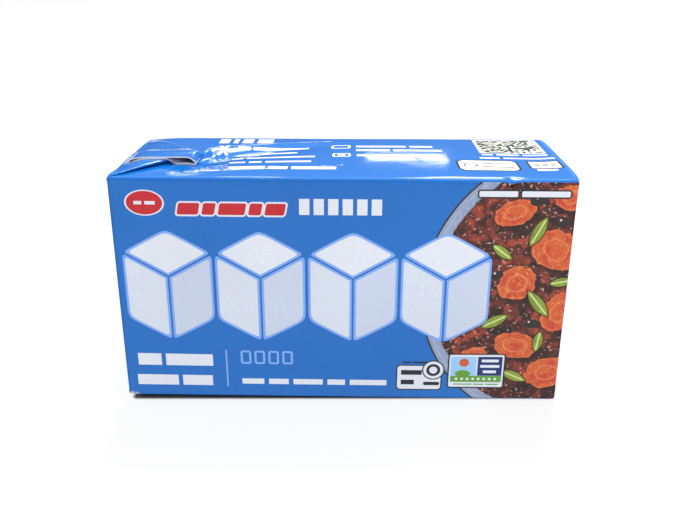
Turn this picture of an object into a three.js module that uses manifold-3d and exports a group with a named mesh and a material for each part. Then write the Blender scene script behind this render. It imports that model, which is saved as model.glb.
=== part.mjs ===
// A shut drink-style carton of tofu, a brick folded from one laminate tube, lying on its long narrow side.
// Millimetres: X runs along the pack, Y from the front wide face to the back one, Z up.
import * as THREE from 'three';
import { mergeVertices } from 'three/addons/utils/BufferGeometryUtils.js';
import Module from 'manifold-3d';

// Driving dimensions of the folded pack.
const packLength = 117.5;
const packDepth = 41.3;
const packWidth = 63;
const foldRadius = 1.6;
const doubledPaper = 0.85;

// Where a sealed end is flattened to a triangle, the ear is half as high as its base is wide.
const earHeight = packDepth / 2;
const earInset = 0.3;

// The sealed fin across each end, folded down towards the front.
const finWidth = 8.2;
const finFold = -1;
const finEnd = earHeight + 0.5;
const finEndRadius = 1.5;

// The lengthwise overlap on the back.
const seamWidth = 8;
const seamStep = 0.4;

// How far the full pack swells, and how far the filled side sinks onto the table.
const wideSwell = 0.9;
const narrowSwell = 0.5;
const endSwell = 0.5;
const restSwell = 1.4;

// The valley pressed into the upper narrow side, from the ear's tip towards the middle.
const valleyDepth = 2.2;
const valleyStart = new THREE.Vector2(-37.5, -3);
const valleyStop = new THREE.Vector2(2, 6);
const valleyHalfWidth = 11.5;
const valleyRunUp = 5;

// The folded ear and fin under the left end lift it by this much above the other end's edge.
const leanAngle = Math.atan(2 * doubledPaper / packLength);

// How finely each face is divided.
const foldSteps = 2;
const lengthSteps = 38;
const depthSteps = 18;
const widthSteps = 12;

const half = new THREE.Vector3(packLength, packDepth, packWidth).multiplyScalar(0.5);
const wasm = await Module();
wasm.setup();

function toSolid(geometry) {
  geometry.deleteAttribute('normal');
  geometry.deleteAttribute('uv');
  const merged = mergeVertices(geometry, 1e-4);
  return new wasm.Manifold(new wasm.Mesh({
    numProp: 3,
    vertProperties: merged.attributes.position.array,
    triVerts: Uint32Array.from(merged.index.array),
  }));
}

function toGeometry(solid) {
  const mesh = solid.getMesh();
  const geometry = new THREE.BufferGeometry();
  geometry.setAttribute('position', new THREE.BufferAttribute(mesh.vertProperties, 3));
  geometry.setIndex(new THREE.BufferAttribute(mesh.triVerts, 1));
  return geometry;
}

// A grid line of a face from -1 to 1 goes to its place: close together round a fold, even between the folds.
function gridPlace(along, steps, reach) {
  const fromEdge = Math.round((1 - Math.abs(along)) * steps / 2);
  const flat = reach - foldRadius;
  if (fromEdge < foldSteps) {
    const turn = Math.PI / 4 * (foldSteps - fromEdge) / foldSteps;
    return Math.sign(along) * (flat + foldRadius * Math.tan(turn));
  }
  return along * flat / (1 - 2 * foldSteps / steps);
}

function dome(a, b) {
  return Math.max(0, 1 - a * a) * Math.max(0, 1 - b * b);
}

// Depth of the valley below the upper narrow side: round across between two creases, dying out along its run.
function valley(x, y) {
  const run = valleyStop.clone().sub(valleyStart);
  const along = (x - valleyStart.x) / run.x;
  const across = (y - valleyStart.y - along * run.y) / valleyHalfWidth;
  if (along > 1 || Math.abs(across) > 1) return 0;
  const fade = along < 0 ? 1 + (x - valleyStart.x) / valleyRunUp : (1 - along) ** 1.3;
  return valleyDepth * Math.max(0, fade) * (1 - across * across);
}

// The brick with rounded folds and swollen faces; `grow` lays its faces further out, as one more layer.
function brick(grow, pressed = false) {
  const reach = half.clone().add(grow);
  const geometry = new THREE.BoxGeometry(2, 2, 2, lengthSteps, depthSteps, widthSteps);
  const place = geometry.attributes.position;
  const point = new THREE.Vector3();
  const core = reach.clone().subScalar(foldRadius);
  for (let i = 0; i < place.count; i++) {
    point.set(
      gridPlace(place.getX(i), lengthSteps, reach.x),
      gridPlace(place.getY(i), depthSteps, reach.y),
      gridPlace(place.getZ(i), widthSteps, reach.z),
    );
    const inner = point.clone().clamp(core.clone().negate(), core);
    point.sub(inner).setLength(foldRadius).add(inner);
    const x = point.x / reach.x;
    const y = point.y / reach.y;
    const z = point.z / reach.z;
    const upper = z > 0 ? narrowSwell * dome(x, y) : restSwell * dome(x, y);
    point.x += x * endSwell * dome(y, z);
    point.y += y * wideSwell * dome(x, z);
    point.z += z * upper;
    if (pressed && z > 0) point.z -= z * valley(point.x, point.y);
    place.setXYZ(i, point.x, point.y, point.z);
  }
  return toSolid(geometry);
}

function outline(corners) {
  return new THREE.Shape(corners.map(([a, b]) => new THREE.Vector2(a, b)));
}

function slab(lowX, highX, lowY, highY, lowZ, highZ) {
  const geometry = new THREE.BoxGeometry(highX - lowX, highY - lowY, highZ - lowZ);
  geometry.translate((lowX + highX) / 2, (lowY + highY) / 2, (lowZ + highZ) / 2);
  return toSolid(geometry);
}

// Left end: the panel over the end runs on into a triangular ear above and one below.
function foldedOutEars() {
  const base = half.y - earInset;
  const triangle = outline([[-half.x - 5, -base - 5], [-half.x + earHeight, 0], [-half.x - 5, base + 5]]);
  const prism = new THREE.ExtrudeGeometry(triangle, { depth: 2 * packWidth, bevelEnabled: false });
  prism.translate(0, 0, -packWidth);
  const within = slab(-packLength, 0, -base, base, -packWidth, packWidth);
  return brick(new THREE.Vector3(0.15, 0, doubledPaper)).intersect(toSolid(prism)).intersect(within);
}

// Left end: the fin crosses the end and both ears, and closes in a round loop at each ear's tip.
function foldedOutFin() {
  const tip = -half.x + finEnd;
  const top = half.z + 2 * doubledPaper;
  const profile = new THREE.Shape();
  profile.moveTo(-packLength, -top - 5);
  profile.lineTo(tip - finEndRadius, -top - 5);
  profile.lineTo(tip - finEndRadius, -top);
  profile.absarc(tip - finEndRadius, -top + finEndRadius, finEndRadius, -Math.PI / 2, 0);
  profile.absarc(tip - finEndRadius, top - finEndRadius, finEndRadius, 0, Math.PI / 2);
  profile.lineTo(tip - finEndRadius, top + 5);
  profile.lineTo(-packLength, top + 5);
  profile.closePath();
  const band = new THREE.ExtrudeGeometry(profile, { depth: finWidth, bevelEnabled: false, curveSegments: 5 });
  band.rotateX(Math.PI / 2);
  band.translate(0, finFold, 0);
  return brick(new THREE.Vector3(1, 0, 2 * doubledPaper)).intersect(toSolid(band));
}

// Right end: the fin lies flat and the two ears fold in over it, so only its middle shows.
function foldedInEnd() {
  const start = half.x - 0.8;
  const base = half.y - earInset;
  const shapes = [1, -1].map((side) => {
    const triangle = outline([
      [-base, side * (half.z + 5)],
      [-base, side * (half.z - earInset)],
      [0, side * (half.z - earHeight)],
      [base, side * (half.z - earInset)],
      [base, side * (half.z + 5)],
    ]);
    const prism = new THREE.ExtrudeGeometry(triangle, { depth: 5, bevelEnabled: false });
    prism.applyMatrix4(new THREE.Matrix4().makeBasis(
      new THREE.Vector3(0, 1, 0), new THREE.Vector3(0, 0, 1), new THREE.Vector3(1, 0, 0),
    ));
    prism.translate(start, 0, 0);
    return toSolid(prism);
  });
  const finTop = half.z - earHeight / 2;
  const fin = slab(start, packLength, finFold - finWidth, finFold, -finTop, finTop);
  const ears = brick(new THREE.Vector3(doubledPaper, 0, 0.1)).intersect(shapes[0].add(shapes[1]));
  return ears.add(brick(new THREE.Vector3(doubledPaper * 0.8, 0, 0)).intersect(fin));
}

function lengthwiseSeam() {
  const reach = half.x - 1;
  const strip = slab(-reach, reach, 0, packDepth, -seamWidth / 2, seamWidth / 2);
  return brick(new THREE.Vector3(0, seamStep, 0)).intersect(strip);
}

// The pack leans on the ear under its left end and settles on the table.
function restingPack() {
  const pack = brick(new THREE.Vector3(), true)
    .add(foldedOutEars())
    .add(foldedOutFin())
    .add(foldedInEnd())
    .add(lengthwiseSeam());
  const leaning = toGeometry(pack);
  leaning.rotateY(leanAngle);
  leaning.translate(0, 0, half.z * Math.cos(leanAngle) + half.x * Math.sin(leanAngle));
  const table = slab(-packLength, packLength, -packLength, packLength, -packLength, 0);
  const geometry = toGeometry(toSolid(leaning).subtract(table));
  geometry.computeBoundingBox();
  const box = geometry.boundingBox;
  geometry.translate(-(box.min.x + box.max.x) / 2, -(box.min.y + box.max.y) / 2, 0);
  return geometry;
}

const laminate = new THREE.MeshStandardMaterial({ color: 0x3a74c4, roughness: 0.3, metalness: 0 });
const carton = new THREE.Mesh(restingPack(), laminate);
carton.name = 'carton';

const tofuCarton = new THREE.Group();
tofuCarton.add(carton);

export default tofuCarton;
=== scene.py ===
import math

import bpy
import numpy as np
from mathutils import Matrix, Vector


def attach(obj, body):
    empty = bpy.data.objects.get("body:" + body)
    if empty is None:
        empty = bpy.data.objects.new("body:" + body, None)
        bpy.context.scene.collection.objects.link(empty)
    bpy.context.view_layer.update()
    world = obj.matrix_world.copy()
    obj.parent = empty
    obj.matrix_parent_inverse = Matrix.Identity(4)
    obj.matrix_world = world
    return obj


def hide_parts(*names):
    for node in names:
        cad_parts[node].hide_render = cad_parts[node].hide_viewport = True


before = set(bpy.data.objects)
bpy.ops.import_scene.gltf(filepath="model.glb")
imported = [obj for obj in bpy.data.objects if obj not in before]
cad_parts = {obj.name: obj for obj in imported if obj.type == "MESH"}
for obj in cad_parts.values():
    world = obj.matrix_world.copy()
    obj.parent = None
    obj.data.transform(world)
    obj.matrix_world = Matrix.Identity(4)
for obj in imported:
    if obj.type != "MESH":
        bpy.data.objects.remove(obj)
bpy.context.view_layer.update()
mm = 0.001

# The pack is modelled in millimetres about its own middle, then leaned and set down on the table.
pack = {
    "length": 117.5,
    "depth": 41.3,
    "width": 63.0,
    "foldRadius": 0.8,
    "lean": math.atan(1.7 / 117.5),  # the folded ear under the left end lifts it
    "middle": (0.08, -0.2, 32.35),
}
halfX, halfY, halfZ = pack["length"] / 2, pack["depth"] / 2, pack["width"] / 2
foldRadius = pack["foldRadius"]
foldRun = foldRadius * math.pi / 2
earReach = halfY  # a flattened ear is half as high as its base is wide
settle = (
    Matrix.Translation([mm * part for part in pack["middle"]])
    @ Matrix.Rotation(pack["lean"], 4, "Y")
    @ Matrix.Scale(mm, 4)
)

shot = {
    "place": (0.00370, -0.1951, 0.1177),
    "elevation": 19.532,
    "azimuth": 1.098,
    "roll": -0.640,
    "focalPixels": 736.4,
    "imageWidth": 683,
    "imageHeight": 512,
    "axisRow": 209.5,  # the image row that the lens axis meets
    "sensor": 36.0,
}


def addCamera():
    lens = bpy.data.cameras.new("camera")
    lens.sensor_width = shot["sensor"]
    lens.lens = shot["focalPixels"] / shot["imageWidth"] * shot["sensor"]
    lens.shift_y = (shot["axisRow"] - shot["imageHeight"] / 2) / shot["imageWidth"]
    lens.clip_start = 0.01
    camera = bpy.data.objects.new("camera", lens)
    bpy.context.scene.collection.objects.link(camera)
    camera.matrix_world = (
        Matrix.Translation(shot["place"])
        @ Matrix.Rotation(math.radians(shot["azimuth"]), 4, "Z")
        @ Matrix.Rotation(math.radians(90 - shot["elevation"]), 4, "X")
        @ Matrix.Rotation(math.radians(shot["roll"]), 4, "Z")
    )
    bpy.context.scene.camera = camera


light = {
    "skyAim": (0.1, 0, 0.995),  # the sky is brightest overhead
    "skyLow": 0.05,
    "skyHigh": 1.12,
    "softboxes": {
        # name: place, aim, width, height and watts
        "backTop": ((0.12, 0.62, 1.05), (0, 0, 0.05), 0.45, 0.45, 13.5),
        "rightKey": ((0.36, -0.42, 0.45), (0, 0, 0.03), 0.3, 0.3, 1.5),
        "backStrip": ((0.10, 1.0, 0.352), (0.03, 0, 0.064), 0.14, 0.025, 0.11),
        "foldStrip": ((0.18, 0.83, 0.61), (0.03, 0, 0.064), 0.20, 0.16, 0.9),
        "creaseStrip": ((-0.15, 0.85, 0.54), (-0.03, 0, 0.064), 0.10, 0.12, 0.25),
        "wallGlow": ((-0.03, 0.27, 1.10), (-0.03, 0, 0.064), 0.2, 0.2, 1.2),
        "leftStrip": ((-0.28, 1.0, 0.40), (-0.03, 0, 0.064), 0.05, 0.015, 0.03),
    },
    "floorSize": 8.0,
    "floorRim": 0.25,  # its far edges turn up, so that a low view has no dark horizon
    "floorColour": (0.12, 0.12, 0.12, 1),
    "floorGlow": 0.85,  # the table's own light keeps the shadows on it pale
    "shadowEdge": -0.6,  # how far out from the pack the table's own light is dimmed for the painted contact shadow, in millimetres
}


def addSky():
    world = bpy.data.worlds.new("paleStudio")
    world.use_nodes = True
    tree = world.node_tree
    coords = tree.nodes.new("ShaderNodeTexCoord")
    toAim = tree.nodes.new("ShaderNodeVectorMath")
    toAim.operation = "DOT_PRODUCT"
    toAim.inputs[1].default_value = light["skyAim"]
    rise = tree.nodes.new("ShaderNodeMapRange")
    rise.inputs["To Min"].default_value = light["skyLow"]
    rise.inputs["To Max"].default_value = light["skyHigh"]
    background = tree.nodes["Background"]
    background.inputs["Color"].default_value = (1, 1, 1, 1)
    tree.links.new(coords.outputs["Generated"], toAim.inputs[0])
    tree.links.new(toAim.outputs["Value"], rise.inputs["Value"])
    tree.links.new(rise.outputs[0], background.inputs["Strength"])
    bpy.context.scene.world = world
    bpy.context.scene.view_settings.view_transform = "Standard"


def addSoftboxes():
    for name, (place, aim, width, height, watts) in light["softboxes"].items():
        lamp = bpy.data.lights.new(name, "AREA")
        lamp.shape = "RECTANGLE"
        lamp.size = width
        lamp.size_y = height
        lamp.energy = watts
        box = bpy.data.objects.new(name, lamp)
        bpy.context.scene.collection.objects.link(box)
        box.location = place
        box.rotation_euler = (Vector(aim) - Vector(place)).to_track_quat("-Z", "Y").to_euler()


addCamera()
addSky()
addSoftboxes()
print("camera and light are set")


class Wire:
    # One shader socket that takes part in sums.
    def __init__(self, finish, socket):
        self.finish = finish
        self.socket = socket

    def __add__(self, other):
        return self.finish.math("ADD", self, other)

    def __sub__(self, other):
        return self.finish.math("SUBTRACT", self, other)

    def __rsub__(self, other):
        return self.finish.math("SUBTRACT", other, self)

    def __mul__(self, other):
        return self.finish.math("MULTIPLY", self, other)

    def __abs__(self):
        return self.finish.math("ABSOLUTE", self)

    __radd__ = __add__
    __rmul__ = __mul__

    def most(self, other):
        return self.finish.math("MAXIMUM", self, other)

    def least(self, other):
        return self.finish.math("MINIMUM", self, other)

    def above(self, level, soft=0.08):
        # 1 where this is over the level and 0 under it, with a soft step between.
        return self.finish.math("MULTIPLY_ADD", self, 1 / soft, 0.5 - level / soft, clamp=True)

    def below(self, level, soft=0.08):
        return self.finish.math("MULTIPLY_ADD", self, -1 / soft, 0.5 + level / soft, clamp=True)


class Finish:
    # A material under construction: its nodes, and its place on the pack in millimetres.
    def __init__(self, name):
        self.material = bpy.data.materials.new(name)
        self.material.use_nodes = True
        self.tree = self.material.node_tree
        self.shader = self.tree.nodes["Principled BSDF"]
        coords = self.node("ShaderNodeTexCoord", {}, {}, "Object")
        back = {
            "Vector": coords,
            "Location": [mm * part for part in pack["middle"]],
            "Rotation": (0, pack["lean"], 0),
            "Scale": (mm, mm, mm),
        }
        self.place = self.node("ShaderNodeMapping", {"vector_type": "TEXTURE"}, back)
        self.x, self.y, self.z = self.split(self.place)

    def node(self, kind, settings, sockets, output=0):
        node = self.tree.nodes.new(kind)
        for name, value in settings.items():
            setattr(node, name, value)
        for name, value in sockets.items():
            self.plug(node.inputs[name], value)
        return Wire(self, node.outputs[output])

    def plug(self, socket, value):
        if isinstance(value, Wire):
            self.tree.links.new(value.socket, socket)
        else:
            socket.default_value = value

    def math(self, operation, *values, clamp=False):
        settings = {"operation": operation, "use_clamp": clamp}
        return self.node("ShaderNodeMath", settings, dict(enumerate(values)))

    def vector(self, operation, *values, output=0):
        # A colour's alpha is dropped, as a vector socket takes three numbers.
        values = [value[:3] if isinstance(value, tuple) else value for value in values]
        return self.node("ShaderNodeVectorMath", {"operation": operation}, dict(enumerate(values)), output)

    def split(self, vector, kind="ShaderNodeSeparateXYZ"):
        parts = self.node(kind, {}, {0: vector}).socket.node
        return [Wire(self, output) for output in parts.outputs]

    def point(self, across, up, out=0.0):
        return self.node("ShaderNodeCombineXYZ", {}, {0: across, 1: up, 2: out})

    def mix(self, amount, under, over):
        return self.node("ShaderNodeMix", {"data_type": "RGBA"}, {0: amount, 6: under, 7: over}, 2)

    def noise(self, scale, detail=2.0, place=None):
        sockets = {"Vector": place or self.place, "Scale": scale, "Detail": detail}
        return self.node("ShaderNodeTexNoise", {}, sockets)

    def aside(self, place, middle, turn=0.0, squash=1.0):
        # Across and up from a motif's own middle, turned and squashed with it.
        local = self.vector("SUBTRACT", place, (*middle, 0))
        if turn:
            settings = {"rotation_type": "Z_AXIS"}
            local = self.node("ShaderNodeVectorRotate", settings, {0: local, "Angle": math.radians(-turn)})
        return local if squash == 1 else self.vector("MULTIPLY", local, (1, 1 / squash, 1))

    def patch(self, place, middle, size, corner=0.0, turn=0.0):
        # Distance in millimetres outside a rounded rectangle, less than zero inside it.
        half = (size[0] / 2 - corner, size[1] / 2 - corner, 1)
        over = self.vector("SUBTRACT", self.vector("ABSOLUTE", self.aside(place, middle, turn)), half)
        if corner:
            over = self.vector("MAXIMUM", over, (0, 0, 0))
            return self.vector("LENGTH", over, output="Value") - corner
        across, up = self.split(over)[:2]
        return across.most(up)

    def disc(self, place, middle, radius, squash=1.0, turn=0.0):
        return self.vector("LENGTH", self.aside(place, middle, turn, squash), output="Value") - radius

    def leaf(self, place, middle, length, width, turn=0.0):
        # Two equal arcs that meet in points.
        radius = (length**2 + width**2) / (4 * width)
        across, up = self.split(self.aside(place, middle, turn))[:2]
        fromCentre = self.point(across, abs(up) + (radius - width / 2))
        return self.vector("LENGTH", fromCentre, output="Value") - radius


def ink(red, green, blue):
    # An sRGB colour from 0 to 255 as the linear colour that a shader takes.
    parts = [part / 255 for part in (red, green, blue)]
    linear = [part / 12.92 if part < 0.04045 else ((part + 0.055) / 1.055) ** 2.4 for part in parts]
    return (*linear, 1)


def addPiece(operator, name, **settings):
    bpy.ops.object.select_all(action="DESELECT")
    operator(**settings)
    piece = bpy.context.object
    piece.name = name
    piece.data.name = name
    return piece


def openForEdit():
    bpy.ops.object.mode_set(mode="EDIT")
    bpy.ops.mesh.select_all(action="SELECT")


def closeEdit():
    bpy.ops.object.mode_set(mode="OBJECT")


def turnOutwards():
    openForEdit()
    bpy.ops.mesh.remove_doubles(threshold=0.0005)
    bpy.ops.mesh.normals_make_consistent(inside=False)
    closeEdit()


def cutAcross(axis, places):
    # One line of edges right round the piece at each place along an axis.
    normal = [0, 0, 0]
    normal[axis] = 1
    for place in places:
        point = [0, 0, 0]
        point[axis] = place
        bpy.ops.mesh.select_all(action="SELECT")
        bpy.ops.mesh.bisect(plane_co=point, plane_no=normal)


def reshape(piece, rule):
    points = np.empty(3 * len(piece.data.vertices))
    piece.data.vertices.foreach_get("co", points)
    moved = rule(*points.reshape(-1, 3).T)
    piece.data.vertices.foreach_set("co", np.stack(moved, 1).ravel())
    piece.data.update()


def applyModifier(piece, kind, **settings):
    modifier = piece.modifiers.new(kind.lower(), kind)
    for name, value in settings.items():
        setattr(modifier, name, value)
    bpy.ops.object.modifier_apply(modifier=modifier.name)


def addSlab(name, columns, rows):
    # A flat two-sided slab from -1 to 1, whose upper side has a height of 1 and lower side 0.
    settings = {"x_subdivisions": columns, "y_subdivisions": rows, "size": 2}
    piece = addPiece(bpy.ops.mesh.primitive_grid_add, name, **settings)
    openForEdit()
    bpy.ops.mesh.extrude_region_move(TRANSFORM_OT_translate={"value": (0, 0, 1)})
    closeEdit()
    return piece


def finishPiece(piece, materials, smoothAngle=40):
    # Onto the table at real size, in the finishes it is made of, riding on the frame.
    piece.data.transform(settle)
    bpy.ops.object.shade_smooth_by_angle(angle=math.radians(smoothAngle))
    for material in materials:
        piece.data.materials.append(material)
    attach(piece, "root")
    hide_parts("carton")


def smoothStep(low, high, value):
    part = np.clip((value - low) / (high - low), 0, 1)
    return part * part * (3 - 2 * part)


def bell(value):
    return np.exp(-(value**2))


def dome(a, b):
    return np.clip(1 - a * a, 0, None) * np.clip(1 - b * b, 0, None)


form = {
    "wideSwell": 0.9,
    "narrowSwell": 0.5,
    "endSwell": 0.5,
    "restSwell": 1.4,
    "crush": 0.2,  # the folds at the left end are crushed round under the fin
    "crushReach": 4.0,
    "rightFold": 0.5,  # the tucked paper stands the right folds proud
    "backCorner": 0.6,  # the rear corner at the left is pushed down
    "backCornerReach": 6.0,
}


def swell(x, y, z):
    # The filled pack bulges on its faces.
    a, b, c = x / halfX, y / halfY, z / halfZ
    up = np.where(z > 0, form["narrowSwell"], form["restSwell"]) * dome(a, b)
    fromFold = np.hypot(x + halfX, abs(z) - halfZ) / form["crushReach"]
    crush = form["crush"] * bell(fromFold) * np.clip(1 - b**4, 0, 1)
    fromRight = np.hypot(x - halfX, abs(z) - halfZ) / form["crushReach"]
    proud = form["rightFold"] * bell(fromRight) * np.clip(1 - b**8, 0, 1)
    fromCorner = np.sqrt((x + halfX) ** 2 + (y - halfY) ** 2 + (z - halfZ) ** 2) / form["backCornerReach"]
    return (
        x + a * form["endSwell"] * dome(b, c) + crush + proud,
        y + b * form["wideSwell"] * dome(a, c),
        z + c * up + np.sign(z) * (proud - crush) - form["backCorner"] * bell(fromCorner),
    )


def settleFlat(z, x):
    # The underside is pressed flat where it meets the table.
    lean = pack["lean"]
    table = (-pack["middle"][2] + math.sin(lean) * x) / math.cos(lean)
    return np.maximum(z, table)


dent = {
    "depth": 2.2,
    "start": (-37.5, -3.0),  # its middle line, from beside the ear's tip
    "slant": 0.15,  # it begins further right towards its rear wall
    "stop": (2.0, 6.0),
    "halfWidth": 11.5,
    "runUp": 2.5,
    "fading": 1.2,
    "steepening": 1.2,  # the slope is gentler at its front crease
    "deepest": 0.8,  # where the slope meets the steep rear wall, as a share of the width
    "creaseHeight": 0.16,
    "creaseWidth": 0.035,
}


def dentDepth(x, y):
    # Below the upper narrow side: a slope down from the front crease to a short steep wall at the back.
    (startX, startY), (stopX, stopY) = dent["start"], dent["stop"]
    along = (x - startX) / (stopX - startX)
    back = 0.5 + (y - startY - along * (stopY - startY)) / (2 * dent["halfWidth"])
    begin = startX + dent["slant"] * (y - startY)
    fade = smoothStep(begin - dent["runUp"], begin, x) * np.clip(1 - along, 0, 1) ** dent["fading"]
    slope = np.clip(back / dent["deepest"], 0, 1) ** dent["steepening"]
    wall = 1 - smoothStep(dent["deepest"] - 0.04, 1, back)
    creases = bell(back / dent["creaseWidth"]) + bell((back - 1) / dent["creaseWidth"])
    return fade * (dent["depth"] * slope * wall - dent["creaseHeight"] * creases)


sleeve = {
    "foldSegments": 5,
    "fineStep": 0.7,
    "coarseStep": 1.6,
    "fineFrom": -52.0,
    "fineTo": 8.0,
    "heightStep": 2.2,
    "ripple": 0.012,
    "edgeDip": 0.36,  # towards the right the narrow side slopes down to its front fold
    "edgeReach": 2.9,
    "edgeFrom": (14, 28),
    "rightRise": 0.16,
    "riseFrom": (-10, 30),
    "nick": (42.2, 1.3, 0.55),  # place along the front fold, reach and depth
}


def sideOf(place):
    # 1 in front, 2 above, 3 behind, and 0 for the ends and the underside, which have no print.
    outX, outY, outZ = [abs(part) - half for part, half in zip(place, (halfX, halfY, halfZ))]
    if outY > max(outX, outZ):
        return 1 if place.y < 0 else 3
    return 2 if outZ > outX and place.z > 0 else 0


def makeSleeve():
    piece = addPiece(bpy.ops.mesh.primitive_cube_add, "printedSleeve", size=2, scale=(halfX, halfY, halfZ))
    bpy.ops.object.transform_apply(location=False, rotation=False, scale=True)
    openForEdit()
    bpy.ops.mesh.bevel(offset=foldRadius, segments=sleeve["foldSegments"], affect="EDGES")
    flatX, flatY, flatZ = halfX - foldRadius, halfY - foldRadius, halfZ - foldRadius
    fine, coarse = sleeve["fineStep"], sleeve["coarseStep"]
    cutAcross(0, np.arange(-flatX + fine, sleeve["fineFrom"], fine))
    cutAcross(0, np.arange(sleeve["fineFrom"], sleeve["fineTo"], fine))
    cutAcross(0, np.arange(sleeve["fineTo"], flatX - fine, coarse))
    nickPlace, nickReach, nickDepth = sleeve["nick"]
    cutAcross(0, nickPlace + nickReach * np.linspace(-1.5, 1.5, 7))
    cutAcross(1, np.arange(-flatY + fine, flatY - fine / 2, fine))
    cutAcross(2, np.arange(-flatZ + fine, flatZ - fine / 2, sleeve["heightStep"]))
    bpy.ops.mesh.select_all(action="SELECT")
    bpy.ops.mesh.remove_doubles(threshold=0.01)
    closeEdit()

    def press(x, y, z):
        x, y, z = swell(x, y, z)
        upper = np.clip(z / halfZ, 0, 1)
        fromFront = np.clip(1 - (y + halfY) / sleeve["edgeReach"], 0, 1)
        dip = sleeve["edgeDip"] * fromFront**2 * smoothStep(*sleeve["edgeFrom"], x)
        dip = dip - sleeve["rightRise"] * smoothStep(*sleeve["riseFrom"], x)
        z = z - np.where(z > 0, dentDepth(x, y) + dip, 0) * upper
        ripple = np.sin(0.31 * x + 0.7) * np.sin(0.37 * y + 0.05 * x) + 0.6 * np.sin(0.13 * x - 0.22 * y)
        z = z + sleeve["ripple"] * ripple * dome(x / halfX, y / halfY) * upper
        z = settleFlat(z, x)
        near = (x - nickPlace) ** 2 + (y + halfY) ** 2 + (z - halfZ) ** 2
        push = nickDepth * np.exp(-near / nickReach**2)
        return x, y + 0.4 * push, z - push

    for face in piece.data.polygons:
        face.material_index = sideOf(face.center)
    reshape(piece, press)
    return piece


def roundOff(y):
    # How far a sheet that reaches the wide faces sinks with the rounded folds there.
    over = np.clip(abs(y) - (halfY - foldRadius), 0, foldRadius)
    return foldRadius - np.sqrt(foldRadius**2 - over**2)


def leftEnd(run, lift):
    # From the middle of the end face over a fold and along a narrow side: how far round, how far out.
    side = np.sign(run)
    run = abs(run) - (halfZ - foldRadius)
    angle = np.clip(run / foldRadius, 0, math.pi / 2)
    reach = foldRadius + lift
    x = -halfX + foldRadius - reach * np.cos(angle) + np.clip(run - foldRun, 0, None)
    z = halfZ - foldRadius + np.minimum(run, 0) + reach * np.sin(angle)
    return x, side * z


foldStart = halfZ - foldRadius
foldMiddle = foldStart + foldRun / 2
earTip = foldStart + foldRun + earReach - foldRadius
ear = {
    "thickness": 1.0,
    "glued": 0.5,  # how much flatter it lies behind the fin
    "follow": 0.65,  # how far it follows the dent under it
    "atFold": 0.3,  # share of its thickness that it has round the fold
    "start": foldStart - 2.0,
    "columns": 52,
    "rows": 44,
    "inset": 0.2,
    "bow": 0.8,  # the slants belly out a little
    "frontGape": 0.5,  # the glued ear gapes along its front slant
    "pillow": 0.15,
    "knuckle": 0.3,  # the pinched corner at the front end of the fold
    "knuckleSize": (2.2, 2.4),
    "knuckleInset": 2.6,
    "tucked": 0.15,  # how deep the sheet starts inside the end face
    "edgeRadius": 1.8,
}


def earHalfWidth(run):
    # Full width round the end, then tapering at 45 degrees to the tip.
    taper = np.clip(abs(run) - foldMiddle, 0, None)
    bow = ear["bow"] * np.sin(math.pi * np.clip(taper / earReach, 0, 1))
    return np.clip(halfY - ear["inset"] - taper + bow, 0.02, None)


def earPaper(run, y):
    run = abs(run)
    share = ear["atFold"] * smoothStep(foldStart - 0.6, foldStart + foldRun, run)
    share = share + (1 - ear["atFold"]) * smoothStep(foldStart, foldStart + 9, run)
    corner = np.hypot(run - foldMiddle, halfY - abs(y))
    glued = 1 - ear["glued"] * smoothStep(-1, 6, y)
    return ear["thickness"] * share * glued * smoothStep(-1, 6, corner)


def fromSlant(run, y):
    return np.minimum(earHalfWidth(run) - abs(y), (earTip - abs(run)) / math.sqrt(2))


def earStand(run, y):
    # How far the ear stands off the narrow side: its bulge, and the gape of its front slant.
    run = abs(run)
    bulge = ear["pillow"] * smoothStep(0, 6, fromSlant(run, y)) * smoothStep(halfZ + 1, halfZ + 6, run)
    gape = ear["frontGape"] * smoothStep(2, -12, y) * np.sqrt(smoothStep(halfZ, earTip, run))
    return bulge, gape


def makeEar(side):
    piece = addSlab("earAbove" if side > 0 else "earBelow", ear["columns"], ear["rows"])

    def wrap(u, v, layer):
        run = ear["start"] + (earTip - ear["start"]) * (u + 1) / 2
        halfWidth = earHalfWidth(run)
        # Rows bunch towards the slants, whose folded edges are round.
        y = halfWidth * np.sin(v * math.pi / 2)
        edge = np.clip(fromSlant(run, y) / ear["edgeRadius"], 0, 1)
        roundness = np.sqrt(np.clip(1 - (1 - edge) ** 2, 0, 1))
        half = earPaper(run, y) / 2
        bulge, gape = earStand(run, y)
        alongX, alongY = ear["knuckleSize"]
        pinch = np.hypot((run - foldMiddle) / alongX, (halfY - ear["knuckleInset"] + y) / alongY)
        bulge = bulge + ear["knuckle"] * bell(pinch)
        lift = np.where(layer > 0.5, half * (1 + roundness) + bulge, half * (1 - roundness) - 0.05) + gape
        lift = np.where(run < foldStart - 0.5, -ear["tucked"], lift) - roundOff(y)
        x, z = leftEnd(side * run, lift)
        x, y, z = swell(x, y, z)
        if side < 0:
            return x, y, settleFlat(z, x)
        return x, y, z - ear["follow"] * dentDepth(x, y)

    reshape(piece, wrap)
    turnOutwards()
    return piece


fin = {
    "width": 8.2,
    "foldAt": -1.0,
    "tip": earTip - 0.5,
    "paper": 0.36,
    "stepsRound": 320,
    "stepsAcross": 16,
    "closeRun": 2.0,  # how far from the tip the loop starts to close, at the cut edge
    "slopeRun": 4.5,  # and along the fold
    "mouthDepth": 3.0,  # the unsealed margin that gapes
    "follow": 0.85,  # how far the upper layer follows the dent under it
    "press": 0.6,  # how far the fold presses the fin in
    "pressReach": 3.0,
    "seal": 0.12,  # between the two layers where they close at the tip
    "dipRun": 2.6,
}


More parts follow.
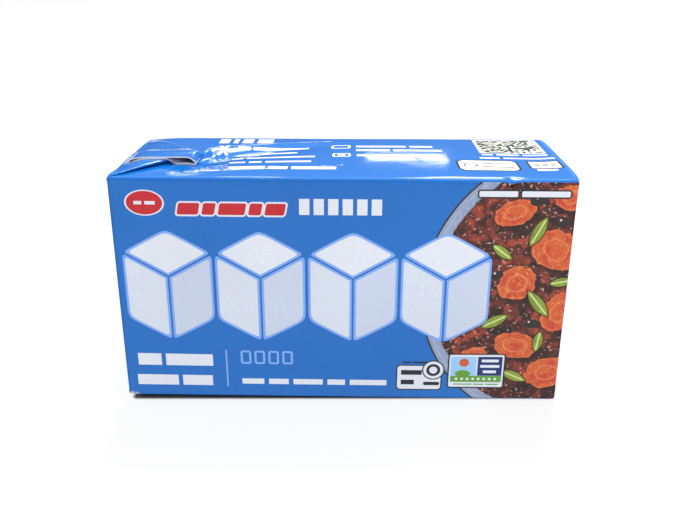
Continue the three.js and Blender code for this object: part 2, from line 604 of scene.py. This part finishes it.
def makeFin(materials):
    settings = {"vertices": fin["stepsRound"], "radius": 1, "depth": 1, "end_fill_type": "NOTHING"}
    piece = addPiece(bpy.ops.mesh.primitive_cylinder_add, "sealedFin", **settings)
    for material in materials:
        piece.data.materials.append(material)
    openForEdit()
    cutAcross(2, np.linspace(-0.5, 0.5, fin["stepsAcross"] + 1)[1:-1])
    closeEdit()
    paper, cutAt = fin["paper"], fin["foldAt"] - fin["width"]

    def wrap(u, v, w):
        turn = np.arctan2(v, u)  # the flattened tube: its outer layer is the half with v above 0
        run = fin["tip"] * np.cos(turn)
        y = fin["foldAt"] - fin["width"] * (0.5 - w)
        base = earPaper(run, y) + sum(earStand(run, y))
        # Past the ear's slant the lower layer drops onto the pack, while the upper one stays level.
        slant = earTip - abs(y)
        drop = smoothStep(slant + 0.8, slant + 0.8 + fin["dipRun"], abs(run))
        x, z = leftEnd(run, 0)
        sag = np.where(run > halfZ, dentDepth(x, y), 0)
        low = base * (1 - drop) + paper / 2 - ear["follow"] * sag + 0.02
        level = earPaper(halfZ + 12, y) + sum(earStand(np.minimum(abs(run), halfZ + 12), y))
        level = np.where(abs(run) < halfZ + 2, base, level)
        high = level + 1.5 * paper - fin["follow"] * sag
        high = np.maximum(high, low + 0.9 * paper)
        # Both layers come down together at the tip, slowly where they are sealed.
        sealed = smoothStep(0, fin["mouthDepth"], y - cutAt)
        closeRun = fin["closeRun"] + (fin["slopeRun"] - fin["closeRun"]) * sealed
        fromTip = np.clip((fin["tip"] - abs(run)) / closeRun, 0, 1)
        high = low + fin["seal"] + (high - low - fin["seal"]) * np.sqrt(1 - (1 - fromTip) ** 2)
        # Along the fold the two layers meet.
        fold = smoothStep(fin["foldAt"] - 1.2, fin["foldAt"], y)
        high = high - fold * (high - base + 0.1)
        low = low - fold * (low - base + 0.25)
        lift = low + (high - low) * smoothStep(-0.03, 0.03, v)
        lift = lift - fin["press"] * bell((abs(run) - foldMiddle) / fin["pressReach"])
        x, z = leftEnd(run, lift)
        x, y, z = swell(x, y, z)
        return x, y, np.where(z < 0, settleFlat(z - paper / 2, x) + paper / 2, z)

    reshape(piece, wrap)
    turnOutwards()
    # The lining is the second finish and the cut edge the third.
    settings = {"offset": 0, "use_rim": True, "material_offset": 1, "material_offset_rim": 2}
    applyModifier(piece, "SOLIDIFY", thickness=paper, **settings)
    return piece


inwardEar = {
    "thickness": 0.8,
    "columns": 40,
    "rows": 40,
    "start": -1.0,
    "tip": foldRun + earReach - foldRadius,
    "inset": 0.4,
    "edgeRadius": 0.4,
    "pillow": 0.2,
}


def rightEnd(run, lift):
    # From the upper narrow side over the right fold and down the end face.
    angle = np.clip(run / foldRadius, 0, math.pi / 2)
    reach = foldRadius + lift
    x = halfX - foldRadius + np.minimum(run, 0) + reach * np.sin(angle)
    z = halfZ - foldRadius + reach * np.cos(angle) - np.clip(run - foldRun, 0, None)
    return x, z


def makeInwardEar(side):
    name = "foldedInAbove" if side > 0 else "foldedInBelow"
    piece = addSlab(name, inwardEar["columns"], inwardEar["rows"])
    start, tip = inwardEar["start"], inwardEar["tip"]

    def wrap(u, v, layer):
        run = start + (tip - start) * (u + 1) / 2
        halfWidth = np.clip(halfY - inwardEar["inset"] - np.clip(run - foldRun / 2, 0, None), 0.02, None)
        y = halfWidth * np.sin(v * math.pi / 2)
        fromSlant = np.minimum(halfWidth - abs(y), (tip - run) / math.sqrt(2))
        edge = np.clip(fromSlant / inwardEar["edgeRadius"], 0, 1)
        roundness = np.sqrt(np.clip(1 - (1 - edge) ** 2, 0, 1))
        corner = np.hypot(run - foldRun / 2, halfY - abs(y))
        half = inwardEar["thickness"] / 2 * smoothStep(0.2, foldRun + 1.5, run) * smoothStep(-1, 6, corner)
        puff = inwardEar["pillow"] * smoothStep(0, 6, fromSlant) * smoothStep(foldRun, foldRun + 5, run)
        lift = np.where(layer > 0.5, half * (1 + roundness) + puff, half * (1 - roundness) - 0.05)
        lift = np.where(run < 0.2, -0.1, lift) - roundOff(y)
        x, z = rightEnd(run, lift)
        x, y, z = swell(x, y, side * z)
        return x, y, settleFlat(z, x)

    reshape(piece, wrap)
    turnOutwards()
    return piece


buried = 0.3  # how deep the hidden side of a flat strip lies in the sleeve
flatFin = {"thickness": 0.7, "halfHeight": 20.0, "columns": 40, "rows": 10}


def makeFlatFin():
    piece = addSlab("flatFin", flatFin["columns"], flatFin["rows"])

    def lay(u, v, layer):
        y = fin["foldAt"] - fin["width"] * (1 - v) / 2
        ease = 0.15 + 0.85 * smoothStep(fin["foldAt"], fin["foldAt"] - 1.2, y)
        x = halfX + np.where(layer > 0.5, flatFin["thickness"] * ease, -buried)
        return swell(x, y, u * flatFin["halfHeight"])

    reshape(piece, lay)
    turnOutwards()
    return piece


seam = {"width": 8.0, "step": 0.4, "endInset": 1.2, "columns": 70, "rows": 10}


def makeSeam():
    # The lengthwise overlap on the back.
    piece = addSlab("lengthwiseSeam", seam["columns"], seam["rows"])

    def lay(u, v, layer):
        # The cut edge below is a full step, the covered edge above only shows through as a soft rise.
        rise = seam["step"] * (1 - 0.95 * smoothStep(0.1, 1, v))
        y = halfY + np.where(layer > 0.5, rise, -buried)
        return swell(u * (halfX - seam["endInset"]), y, v * seam["width"] / 2)

    reshape(piece, lay)
    turnOutwards()
    return piece


inks = {
    "blue": ink(17, 109, 197),
    "paleBlue": ink(132, 178, 244),
    "outline": ink(128, 170, 244),
    "white": ink(226, 231, 243),
    "whiteShade": ink(216, 223, 238),
    "whiteDeep": ink(202, 212, 234),
    "paper": ink(248, 247, 244),
    "oldPaper": ink(176, 170, 166),
    "lining": ink(104, 108, 134),
    "liningPale": ink(166, 168, 190),
    "codeDark": ink(46, 66, 62),
    "red": ink(198, 30, 40),
    "navy": ink(22, 46, 112),
    "dark": ink(28, 30, 40),
    "leaf": ink(96, 158, 52),
    "cream": ink(222, 222, 208),
    "sky": ink(156, 204, 250),
    "rim": ink(116, 132, 168),
    "rimLight": ink(172, 186, 214),
    "rimDark": ink(44, 36, 38),
    "sauceDeep": ink(38, 20, 20),
    "sauce": ink(112, 44, 34),
    "sauceLight": ink(170, 68, 46),
    "glint": ink(238, 198, 186),
    "orange": ink(208, 94, 44),
    "orangeDeep": ink(196, 58, 42),
    "orangePale": ink(234, 154, 96),
    "green": ink(164, 186, 56),
    "greenPale": ink(222, 232, 170),
    "greenDeep": ink(84, 108, 32),
    "olive": ink(44, 38, 36),
}

laminate = {
    "roughness": 0.075,
    "scuff": 0.06,
    "rubbed": (0.9, 0.7),  # how wide the folds are rubbed dull, in millimetres, and how much
    "specular": 0.4,
    "grain": 0.3,
    "drift": 0.16,
    "wave": 0.02,  # how deep the soft unevenness is, in millimetres
    "waveScale": 0.1,
    "drag": 0.01,  # and the fine lines that run along the board
    "fleck": 0.35,  # how white the flecks along the folds are
    "wornCorner": (-halfX + 1.0, -halfY + 0.8, -halfZ - 1.2),
    "wornRadius": 3.4,
    "wornDull": 0.5,
}


def makeLaminate(name, printSide=None):
    # Printed, plastic-coated board: fine print grain, soft unevenness, white flecks along the folds.
    finish = Finish(name)
    colour, creases = printSide(finish) if printSide else (inks["blue"], 0.0)
    screen = finish.noise(3.2, 3)
    broad = finish.noise(0.035, 2)
    shade = 1 + (screen - 0.5) * laminate["grain"] + (broad - 0.5) * laminate["drift"]
    colour = finish.vector("MULTIPLY", colour, finish.point(shade, shade, shade))
    outX, outY, outZ = abs(finish.x) - halfX, abs(finish.y) - halfY, abs(finish.z) - halfZ
    nearFold = outX.least(outY).most(outX.least(outZ)).most(outY.least(outZ))
    fleck = nearFold.above(-0.7, 0.5) * finish.noise(1.9, 4).above(0.7, 0.06) * laminate["fleck"]
    fromCorner = finish.vector("DISTANCE", finish.place, laminate["wornCorner"], output="Value")
    frayed = (fromCorner + finish.noise(1.2, 3) * 2).below(laminate["wornRadius"], 0.8)
    colour = finish.mix(fleck, colour, inks["paper"])
    colour = finish.mix(frayed, colour, finish.mix(finish.noise(2.5, 2), inks["paper"], inks["oldPaper"]))
    finish.plug(finish.shader.inputs["Base Color"], colour)
    rubbedWidth, rubbedAmount = laminate["rubbed"]
    dull = nearFold.above(-rubbedWidth, 0.3) * rubbedAmount + frayed * laminate["wornDull"]
    dull = dull + (finish.noise(0.3, 4) - 0.4).most(0) * laminate["scuff"]
    finish.plug(finish.shader.inputs["Roughness"], laminate["roughness"] + dull)
    finish.shader.inputs["Specular IOR Level"].default_value = laminate["specular"]
    along = finish.node("ShaderNodeMapping", {}, {"Vector": finish.place, "Scale": (0.12, 1, 1)})
    height = finish.noise(laminate["waveScale"], 2) * laminate["wave"] + screen * 0.003 + creases
    height = height + finish.noise(0.9, 3, along) * laminate["drag"]
    bump = finish.node("ShaderNodeBump", {}, {"Strength": 1.0, "Distance": mm, "Height": height})
    finish.plug(finish.shader.inputs["Normal"], bump)
    return finish.material


def makePaperEdge():
    finish = Finish("cutPaperEdge")
    fibre = finish.noise(3.0, 4)
    colour = finish.mix(fibre.above(0.6, 0.25) * 0.4, inks["paper"], inks["oldPaper"])
    finish.plug(finish.shader.inputs["Base Color"], colour)
    finish.shader.inputs["Roughness"].default_value = 0.8
    bump = finish.node("ShaderNodeBump", {}, {"Strength": 0.4, "Distance": mm * 0.1, "Height": fibre})
    finish.plug(finish.shader.inputs["Normal"], bump)
    return finish.material


def makeLining():
    finish = Finish("greyLining")
    wrinkle = finish.noise(0.8, 3)
    finish.plug(finish.shader.inputs["Base Color"], finish.mix(wrinkle, inks["lining"], inks["liningPale"]))
    finish.shader.inputs["Roughness"].default_value = 0.45
    bump = finish.node("ShaderNodeBump", {}, {"Strength": 0.4, "Distance": mm * 0.2, "Height": wrinkle})
    finish.plug(finish.shader.inputs["Normal"], bump)
    return finish.material


class Face:
    # The print on one side, laid colour over colour, in millimetres across and up.
    def __init__(self, finish, across, up, colour):
        self.finish = finish
        self.across = across
        self.up = up
        self.place = finish.point(across, up)
        self.colour = colour

    def lay(self, colour, away, grow=0.0, amount=1.0, soft=0.08):
        mask = away.below(grow, soft)
        self.colour = self.finish.mix(mask if amount == 1 else mask * amount, self.colour, colour)

    def bar(self, colour, middle, size, corner=0.4, turn=0.0, border=None, width=0.35):
        away = self.finish.patch(self.place, middle, size, min(corner, *[part / 2 for part in size]), turn)
        if border:
            self.lay(border, away, width)
        self.lay(colour, away)

    def frame(self, colour, middle, size, corner, stroke):
        away = abs(self.finish.patch(self.place, middle, size, corner))
        self.lay(colour, away, stroke / 2)

    def disc(self, colour, middle, radius, squash=1.0, turn=0.0, border=None, width=0.35):
        away = self.finish.disc(self.place, middle, radius, squash, turn)
        if border:
            self.lay(border, away, width)
        self.lay(colour, away)

    def words(self, colour, start, height, lengths, gap=1.0):
        # A row of plain bars, as long as words, from a starting point at their mid height.
        across, up = start
        covered = 0
        for length in lengths:
            covered = self.finish.math("COMPARE", self.across, across + length / 2, length / 2) + covered
            across += length + gap
        level = self.finish.math("COMPARE", self.up, up, height / 2)
        self.colour = self.finish.mix(covered * level, self.colour, colour)


frontPrint = {
    "blocks": {
        "count": 4,
        "middle": (-9.0, 33.5),
        "size": (22.0, 30.8),
        "pitch": 24.0,
        "slant": math.radians(30),
        "gap": 1.7,
        "line": 0.6,
    },
    "mark": {"middle": (-49.7, 56.4), "radius": 4.6, "squash": 0.68},
    "redRow": {
        "from": (-41.4, 54.95),
        "height": 3.1,
        "lengths": (5.4, 3.2, 6.8, 3.2, 5.0),
        "gap": 0.9,
        "lean": 0.2,
    },
    "whiteRow": {"from": (-10.7, 55.75), "height": 4.2, "lengths": (2.6,) * 6, "gap": 1.04},
    "boldRows": (((-55.1, 11.5), 3.6, (6.4, 12.8)), ((-55.7, 5.1), 3.2, (11.2, 8.2))),
    "divider": {"middle": (-31.0, 9.0), "size": (0.4, 11.6)},
    "paleRow": {"from": (-25.7, 12.6), "size": (2.3, 3.6), "count": 4, "pitch": 3.75, "stroke": 0.55},
    "thinRow": {"from": (-27.0, 5.0), "height": 1.7, "lengths": (6.0, 5.4, 8.0, 4.8, 10.0), "gap": 1.3},
    "caption": {"up": 59.5, "bars": ((34.2, 9.6), (44.8, 12.0))},
    "dish": {"middle": (61.5, 32.0), "radius": 40.4, "rim": 3.2},
}

filling = {
    # middle, radius, squash and turn
    "slices": (
        ((43.5, 54.6), 5.4, 0.62, 20),
        ((54.6, 44.6), 6.6, 0.8, -30),
        ((45.4, 35.2), 5.2, 0.9, 40),
        ((57.4, 27.0), 6.2, 0.7, 65),
        ((46.5, 17.0), 5.8, 0.66, -12),
        ((35.4, 12.4), 4.4, 0.8, 30),
        ((55.6, 8.6), 6.0, 0.76, 15),
        ((57.0, 58.6), 4.2, 0.8, 0),
    ),
    # middle, length, width and turn
    "leaves": (
        ((49.8, 49.6), 8.6, 2.8, 64),
        ((41.0, 44.0), 6.4, 2.4, -38),
        ((51.4, 29.4), 9.4, 3.0, -52),
        ((40.4, 24.2), 7.6, 2.8, 28),
        ((52.4, 18.2), 6.2, 2.4, 82),
        ((46.6, 7.6), 7.8, 2.6, -24),
        ((56.8, 35.6), 6.0, 2.4, 10),
    ),
    # middle and radius
    "beans": (
        ((49.2, 58.0), 2.2),
        ((40.0, 37.6), 1.8),
        ((55.6, 52.2), 1.9),
        ((50.0, 23.6), 1.8),
        ((41.8, 9.6), 1.9),
    ),
}


def layBlocks(face):
    # A row of pale blocks seen from a corner, each in three faces with a gap between.
    finish, block = face.finish, frontPrint["blocks"]
    (middleX, middleUp), (width, height) = block["middle"], block["size"]
    pitch, slant, squareOn = block["pitch"], math.tan(block["slant"]), math.cos(block["slant"])
    first = middleX - pitch * (block["count"] - 1) / 2
    u = finish.math("WRAP", face.across - first, pitch / 2, -pitch / 2)
    v = face.up - middleUp
    inRow = abs(face.across - middleX).below(pitch * block["count"] / 2)
    softU = finish.vector("LENGTH", finish.point(u, 1.2), output="Value")
    ends = (abs(v) + softU * slant - height / 2) * squareOn
    away = finish.math("SMOOTH_MAX", abs(u) - width / 2, ends, 2.5)
    # The three faces meet one rhombus below the top corner.
    over = v - (height / 2 - width * slant) - abs(u) * slant
    fromRidge = abs(over) * squareOn
    fromStem = abs(u).most(over)
    fromGap = fromRidge.least(fromStem) - block["gap"] / 2
    inFace = finish.math("SMOOTH_MAX", away, 0 - fromGap, 1.2)
    sides = finish.mix(u.above(0), inks["whiteShade"], inks["whiteDeep"])
    tone = finish.mix(over.above(0), sides, inks["white"])
    face.colour = finish.mix(away.below(block["line"]) * inRow, face.colour, inks["blue"])
    face.colour = finish.mix(inFace.below(block["line"]) * inRow, face.colour, inks["outline"])
    face.colour = finish.mix(inFace.below(0) * inRow, face.colour, tone)


def layFilling(finish, place):
    # Chopped vegetables in a dark sauce: lumps, round orange slices, leaves and dark beans.
    stew = Face(finish, finish.x, finish.z + halfZ, inks["sauce"])
    crumbs = finish.node("ShaderNodeTexVoronoi", {}, {"Vector": finish.place, "Scale": 0.55})
    lumps = finish.node("ShaderNodeTexVoronoi", {}, {"Vector": finish.place, "Scale": 0.42}, 1)
    tone, other = finish.split(lumps, "ShaderNodeSeparateColor")[:2]
    grit = finish.noise(1.1, 3)
    shade = finish.noise(0.26, 3)
    stew.colour = finish.mix(tone.above(0.5, 0.9), inks["sauceDeep"], inks["sauce"])
    stew.colour = finish.mix(other.above(0.55, 0.3) * 0.85, stew.colour, inks["sauceLight"])
    stew.colour = finish.mix((crumbs + grit * 0.4).above(0.8, 0.3) * 0.85, stew.colour, inks["sauceDeep"])
    stew.colour = finish.mix(shade.above(0.52, 0.16) * 0.6, stew.colour, inks["sauceDeep"])
    stew.colour = finish.mix(grit.above(0.64, 0.06) * 0.6, stew.colour, inks["glint"])
    mottle = finish.noise(0.5, 4)
    flesh = finish.mix(mottle.above(0.52, 0.14) * 0.85, inks["orange"], inks["orangeDeep"])
    flesh = finish.mix(finish.noise(1.3, 3).above(0.62, 0.1) * 0.7, flesh, inks["orangePale"])
    for middle, radius, squash, turn in filling["slices"]:
        shadow = finish.disc(place, (middle[0] + 0.7, middle[1] - 0.8), radius, squash, turn)
        away = finish.disc(place, middle, radius, squash, turn) + (mottle - 0.5) * 2.4
        stew.lay(inks["sauceDeep"], shadow, 0.5, 0.85, 1.2)
        stew.lay(flesh, away, soft=0.25)
        stew.lay(inks["orangePale"], abs(away + radius * 0.5), 0.2, 0.6, 0.6)
        stew.lay(inks["orangePale"], abs(away + 0.35), 0.1, 0.5, 0.3)
    for middle, length, width, turn in filling["leaves"]:
        away = finish.leaf(place, middle, length, width, turn)
        stew.lay(inks["sauceDeep"], away, 0.35, 0.85, 0.5)
        stew.lay(finish.mix(mottle, inks["greenDeep"], inks["green"]), away, soft=0.15)
        stew.lay(inks["greenPale"], finish.patch(place, middle, (length * 0.8, 0.35), 0.15, turn), soft=0.3)
    for middle, radius in filling["beans"]:
        stew.disc(inks["olive"], middle, radius, 0.7, 8 * radius)
        stew.disc(inks["glint"], (middle[0] - 0.5, middle[1] + 0.5), 0.3)
    return stew.colour


def layBadges(face):
    # A white one with a ring, and a small picture panel over a green band.
    face.words(inks["dark"], (16.6, 11.6), 0.5, (2.4, 4.0), 0.4)
    face.bar(inks["white"], (21.2, 6.8), (11.8, 7.4), 0.9, border=inks["dark"])
    face.disc(inks["white"], (25.0, 9.2), 2.7, border=inks["dark"])
    face.lay(inks["dark"], abs(face.finish.disc(face.place, (25.0, 9.2), 1.5)), 0.4)
    face.words(inks["dark"], (16.3, 8.4), 1.5, (5.6,))
    face.words(inks["dark"], (16.3, 5.3), 1.5, (3.6,))
    face.bar(inks["dark"], (24.6, 4.9), (4.4, 1.1), 0.5)
    face.bar(inks["white"], (36.6, 9.0), (14.7, 10.1), 0.5, border=inks["dark"], width=0.4)
    face.bar(inks["sky"], (33.1, 10.5), (6.9, 5.9), 0.1)
    face.bar(inks["navy"], (40.2, 10.5), (6.6, 5.9), 0.1)
    face.disc(inks["orange"], (33.2, 11.6), 1.3)
    face.disc(inks["leaf"], (33.0, 8.2), 2.1, 0.5)
    for up, length in ((12.2, 4.6), (10.5, 5.2), (8.8, 3.6)):
        face.bar(inks["white"], (40.2, up), (length, 0.85), 0.2)
    face.bar(inks["leaf"], (36.6, 6.5), (13.8, 2.0), 0.1)
    face.words(inks["white"], (31.0, 6.5), 0.7, (0.7,) * 8, 0.8)
    face.words(inks["leaf"], (30.6, 4.8), 0.35, (5.0, 3.0, 3.4), 0.4)


def printFront(finish):
    face = Face(finish, finish.x, finish.z + halfZ, inks["blue"])
    dish = frontPrint["dish"]
    away = finish.disc(face.place, dish["middle"], dish["radius"])
    face.lay(inks["rimDark"], away, 0.45)
    ring = finish.mix(finish.noise(0.9, 3), inks["rim"], inks["rimLight"])
    face.lay(ring, away)
    face.lay(inks["rimLight"], abs(away + 1.1), 0.16, 0.7)
    inside = away + dish["rim"] + (finish.noise(0.5, 3) - 0.5) * 1.2
    face.lay(inks["sauceDeep"], inside, 0.25, soft=0.3)
    face.lay(layFilling(finish, face.place), inside, soft=0.2)
    layBlocks(face)
    mark = frontPrint["mark"]
    face.disc(inks["red"], mark["middle"], mark["radius"], mark["squash"], border=inks["white"], width=0.45)
    face.words(inks["white"], (mark["middle"][0] - 2.7, mark["middle"][1]), 0.9, (2.0, 2.6), 0.8)
    row = frontPrint["redRow"]
    leaning = Face(finish, face.across - (face.up - row["from"][1]) * row["lean"], face.up, face.colour)
    across = row["from"][0]
    for length in row["lengths"]:
        place = (across + length / 2, row["from"][1])
        leaning.bar(inks["red"], place, (length, row["height"]), 0.5, border=inks["white"], width=0.45)
        across += length + row["gap"]
    face.colour = leaning.colour
    row = frontPrint["whiteRow"]
    face.words(inks["white"], row["from"], row["height"], row["lengths"], row["gap"])
    for start, height, lengths in frontPrint["boldRows"]:
        face.words(inks["white"], start, height, lengths, 1.2)
    face.bar(inks["paleBlue"], frontPrint["divider"]["middle"], frontPrint["divider"]["size"], 0.0)
    row = frontPrint["paleRow"]
    for step in range(row["count"]):
        middle = (row["from"][0] + step * row["pitch"], row["from"][1])
        face.frame(inks["paleBlue"], middle, row["size"], 0.4, row["stroke"])
    row = frontPrint["thinRow"]
    face.words(inks["white"], row["from"], row["height"], row["lengths"], row["gap"])
    layBadges(face)
    for across, length in frontPrint["caption"]["bars"]:
        place = (across + length / 2, frontPrint["caption"]["up"])
        face.bar(inks["white"], place, (length, 1.5), 0.3, border=inks["dark"], width=0.4)
    return face.colour, 0.0


topPrint = {
    "title": {"from": (-36.4, 15.8), "height": 5.2, "lengths": (3.0, 1.4, 3.2, 4.6), "gap": 1.2},
    "rows": (
        ((-30.0, 8.9), 1.5, (3.4, 15.8)),
        ((-29.8, 3.9), 1.5, (6.4, 9.6)),
        ((-30.2, -1.1), 1.5, (3.0, 18.6)),
        ((-30.2, -6.2), 1.6, (4.2, 3.4, 12.2)),
        ((-29.6, -12.0), 2.2, (9.4, 5.0, 11.6)),
        ((3.6, 9.7), 1.9, (14.2, 6.6)),
        ((3.6, 5.3), 1.9, (9.4, 13.6)),
        ((3.8, -0.2), 1.9, (3.4, 8.0, 9.4)),
        ((38.2, 1.9), 1.2, (3.0, 6.2, 6.8)),
        ((37.1, -1.5), 1.2, (5.4, 13.8)),
    ),
    "icons": ((-34.0, 7.6), (-0.7, 9.4), (-0.4, 0.2)),
    "code": {"middle": (47.1, 11.4), "size": (18.4, 15.8), "module": 0.85},
    "wideBox": {"middle": (38.2, -8.6), "size": (15.2, 8.6)},
    "smallBox": {"middle": (53.2, -7.6), "size": (7.7, 5.8)},
}


def layCode(face):
    # A square field of dark modules in no order.
    finish, code = face.finish, topPrint["code"]
    away = finish.patch(face.place, code["middle"], code["size"])
    face.lay(inks["cream"], away)
    cells = finish.vector("MULTIPLY", face.place, (1 / code["module"], 1 / code["module"], 0))
    settings = {"noise_dimensions": "2D"}
    chance = finish.node("ShaderNodeTexWhiteNoise", settings, {"Vector": finish.vector("FLOOR", cells)})
    modules = chance.above(0.5) * away.below(-0.8)
    face.colour = finish.mix(modules, face.colour, inks["codeDark"])


def printTop(finish):
    face = Face(finish, finish.x, finish.y, inks["blue"])
    title = topPrint["title"]
    face.words(inks["paper"], title["from"], title["height"], title["lengths"], title["gap"])
    for start, height, lengths in topPrint["rows"]:
        face.words(inks["paper"], start, height, lengths, 1.0)
    rosette, tray, wheel = topPrint["icons"]
    for turn in (0, 60, 120):
        face.bar(inks["paper"], rosette, (5.2, 0.9), 0.4, turn)
    face.frame(inks["paper"], tray, (4.8, 3.4), 0.8, 0.7)
    face.frame(inks["paper"], wheel, (4.4, 3.0), 0.6, 0.6)
    face.bar(inks["paper"], wheel, (2.2, 1.2), 0.4)
    box = topPrint["wideBox"]
    face.bar(inks["paper"], box["middle"], box["size"], 2.0, border=inks["dark"], width=0.6)
    left, up = box["middle"][0] - box["size"][0] / 2, box["middle"][1]
    face.lay(inks["dark"], abs(finish.disc(face.place, (left + 3.0, up), 1.7)), 0.2)
    face.words(inks["dark"], (left + 6.4, up + 1.6), 0.6, (3.2, 3.0), 0.6)
    face.words(inks["dark"], (left + 5.8, up - 1.4), 0.7, (8.4,))
    box = topPrint["smallBox"]
    face.bar(inks["paper"], box["middle"], box["size"], 0.2, border=inks["dark"], width=0.6)
    face.words(inks["oldPaper"], (box["middle"][0] - 2.7, box["middle"][1]), 2.2, (1.4, 1.6, 1.2), 0.6)
    face.bar(inks["paper"], (52.9, -12.1), (5.4, 1.3))
    layCode(face)
    # painted crease highlights go into the colour, and their low ridges into the bump
    creases = layCreaseHighlights(face)
    return face.colour, creases


creaseHighlights = {
    # from, to and width of each painted crease highlight on the upper narrow side, drawn as a broken white
    # line
    "creases": (
        ((-37.6, -15.2), (-29.6, -13.9), 0.5),
        ((-36.0, -15.2), (0.0, -9.3), 0.3),
        ((-29.7, 11.2), (-3.7, 16.2), 0.35),
        ((-37.4, -13.0), (-30.4, -8.6), 0.35),
        ((-36.4, -14.6), (-29.8, -10.6), 0.4),
        ((-42.0, -16.0), (-36.8, -16.0), 0.5),
        ((18.1, 0.8), (21.8, -6.8), 0.18),
    ),
    "height": 0.05,
}


def layCreaseHighlights(face):
    # Painted highlights: the glints along the sharp creases, and along one scratch, are drawn as broken
    # white lines in the colour. The bump adds a low real ridge under each one.
    finish = face.finish
    broken = finish.noise(0.9, 4)
    height = 0.0
    for (startX, startY), (stopX, stopY), width in creaseHighlights["creases"]:
        length = math.hypot(stopX - startX, stopY - startY)
        turn = math.degrees(math.atan2(stopY - startY, stopX - startX))
        middle = ((startX + stopX) / 2, (startY + stopY) / 2)
        away = finish.patch(face.place, middle, (length, width), 0.0, turn)
        near = away.below(0, 0.5)
        # painted highlight: each crease line is mixed towards white paper
        face.colour = finish.mix(near * broken.above(0.5, 0.16) * 0.8, face.colour, inks["paper"])
        height = height + near * creaseHighlights["height"]
    return height


backPrint = {
    "panel": {"middle": (-26.0, 47.6), "size": (58.0, 22.0)},
    "panelRows": 7,
    "table": {"middle": (30.6, 47.6), "size": (44.0, 22.0)},
    "tableRows": 8,
    "lowerRows": (
        ((-55.0, 22.4), 1.6, (9.0, 14.0, 6.0, 11.0)),
        ((-55.0, 18.8), 1.6, (13.0, 8.0, 17.0)),
        ((-55.0, 15.2), 1.6, (6.0, 12.0, 9.0, 8.0)),
        ((-55.0, 8.6), 2.6, (10.0, 6.0, 14.0)),
        ((-55.0, 4.2), 1.4, (16.0, 9.0)),
    ),
}


def printBack(finish):
    # Rows of plain bars and an empty ruled table, either side of the lengthwise overlap.
    face = Face(finish, 0 - finish.x, finish.z + halfZ, inks["blue"])
    panel = backPrint["panel"]
    (middleX, middleUp), (width, height) = panel["middle"], panel["size"]
    face.bar(inks["white"], panel["middle"], panel["size"], 1.5, border=inks["outline"], width=0.5)
    pitch = (height - 3) / backPrint["panelRows"]
    for row in range(backPrint["panelRows"]):
        up = middleUp + height / 2 - 1.5 - pitch * (row + 0.5)
        lengths = (8.0 + 3 * (row % 3), 15.0 - 2 * (row % 4), 9.0 + 2 * (row % 2))
        face.words(inks["navy"], (middleX - width / 2 + 2.5, up), 1.1, lengths, 1.0)
    table = backPrint["table"]
    (middleX, middleUp), (width, height) = table["middle"], table["size"]
    face.bar(inks["white"], table["middle"], table["size"], 0.3, border=inks["dark"], width=0.3)
    pitch = (height - 2) / backPrint["tableRows"]
    for row in range(backPrint["tableRows"]):
        up = middleUp + height / 2 - 1 - pitch * (row + 0.5)
        face.bar(inks["dark"], (middleX, up - pitch / 2), (width - 2, 0.25), 0.0)
        face.words(inks["dark"], (middleX - width / 2 + 1.5, up), 1.0, (9.0 + 4 * (row % 3),))
        face.bar(inks["dark"], (middleX + width / 2 - 4, up), (3.4, 1.0))
    for start, height, lengths in backPrint["lowerRows"]:
        face.words(inks["white"], start, height, lengths, 1.2)
    for step in range(3):
        face.disc(inks["paleBlue"], (18.0 + 13 * step, 14.0), 4.6, border=inks["white"], width=0.5)
        face.bar(inks["white"], (18.0 + 13 * step, 14.0), (4.2, 3.0), 0.8)
    return face.colour, 0.0


def addTable():
    floor = addPiece(bpy.ops.mesh.primitive_plane_add, "paleTable", size=light["floorSize"])
    openForEdit()
    bpy.ops.mesh.select_mode(type="EDGE")
    bpy.ops.mesh.region_to_loop()
    bpy.ops.mesh.extrude_edges_move(TRANSFORM_OT_translate={"value": (0, 0, light["floorRim"])})
    closeEdit()
    finish = Finish("paleTable")
    # Painted contact shadow: the table gives no light of its own under the pack, so the gap under the
    # lifted left end and along the bottom fold stays dark.
    footprint = finish.patch(finish.point(finish.x, finish.y), (0, 0), (pack["length"], pack["depth"]), 2.0)
    glowWithPaintedShadow = finish.mix(footprint.above(light["shadowEdge"], 1.0), (0, 0, 0, 1), (1, 1, 1, 1))
    finish.plug(finish.shader.inputs["Emission Color"], glowWithPaintedShadow)
    finish.shader.inputs["Base Color"].default_value = light["floorColour"]
    finish.shader.inputs["Roughness"].default_value = 0.9
    finish.shader.inputs["Emission Strength"].default_value = light["floorGlow"]
    floor.data.materials.append(finish.material)


plainLaminate = makeLaminate("blueLaminate")
printed = [makeLaminate(side.__name__, side) for side in (printFront, printTop, printBack)]
paperEdge = makePaperEdge()
lining = makeLining()
print("finishes are mixed")

finishPiece(makeSleeve(), [plainLaminate, *printed])
for side in (1, -1):
    finishPiece(makeEar(side), [plainLaminate])
finishPiece(makeFin([plainLaminate, lining, paperEdge]), [])
print("sleeve, outer ears and fin are folded")
for side in (1, -1):
    finishPiece(makeInwardEar(side), [plainLaminate])
finishPiece(makeFlatFin(), [plainLaminate])
finishPiece(makeSeam(), [plainLaminate])
addTable()
print("right end and seam are closed")
